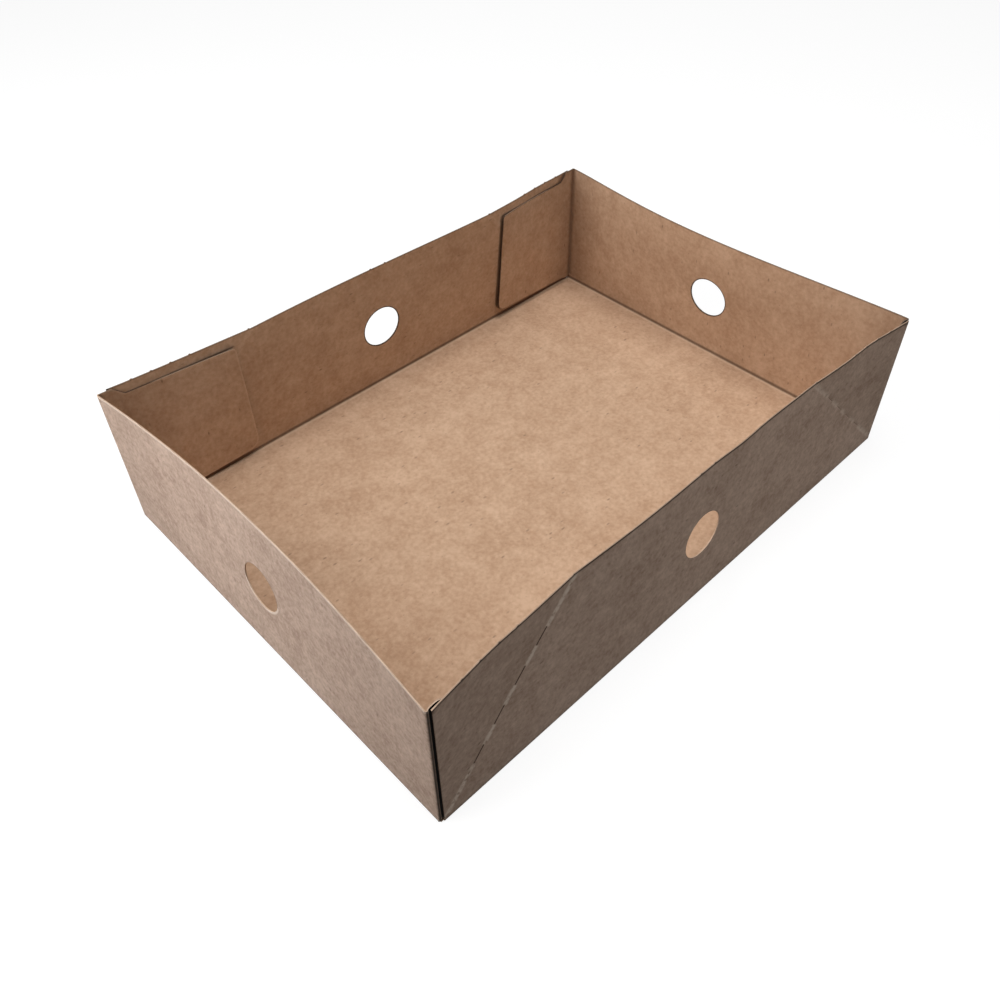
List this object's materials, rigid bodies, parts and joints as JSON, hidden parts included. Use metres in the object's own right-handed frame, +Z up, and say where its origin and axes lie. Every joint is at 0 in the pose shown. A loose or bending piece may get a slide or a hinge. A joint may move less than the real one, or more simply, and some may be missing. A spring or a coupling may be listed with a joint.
{
  "type": "cardboard tray box",
  "caption": "Open folded kraft-board tray with glued corners, diagonal collapse creases and a round finger hole in each wall, for carrying or displaying goods.",
  "frame": {"origin": "middle of the underside of the base, on the surface the tray stands on", "axes": "+X along the long walls, +Y along the short walls, +Z up out of the open top"},
  "size_m": [0.33, 0.24, 0.0825],
  "materials": {
    "kraft_board": "matte"
  },
  "bodies": {
    "root": {"tray": "kraft_board"}
  },
  "joints": []
}
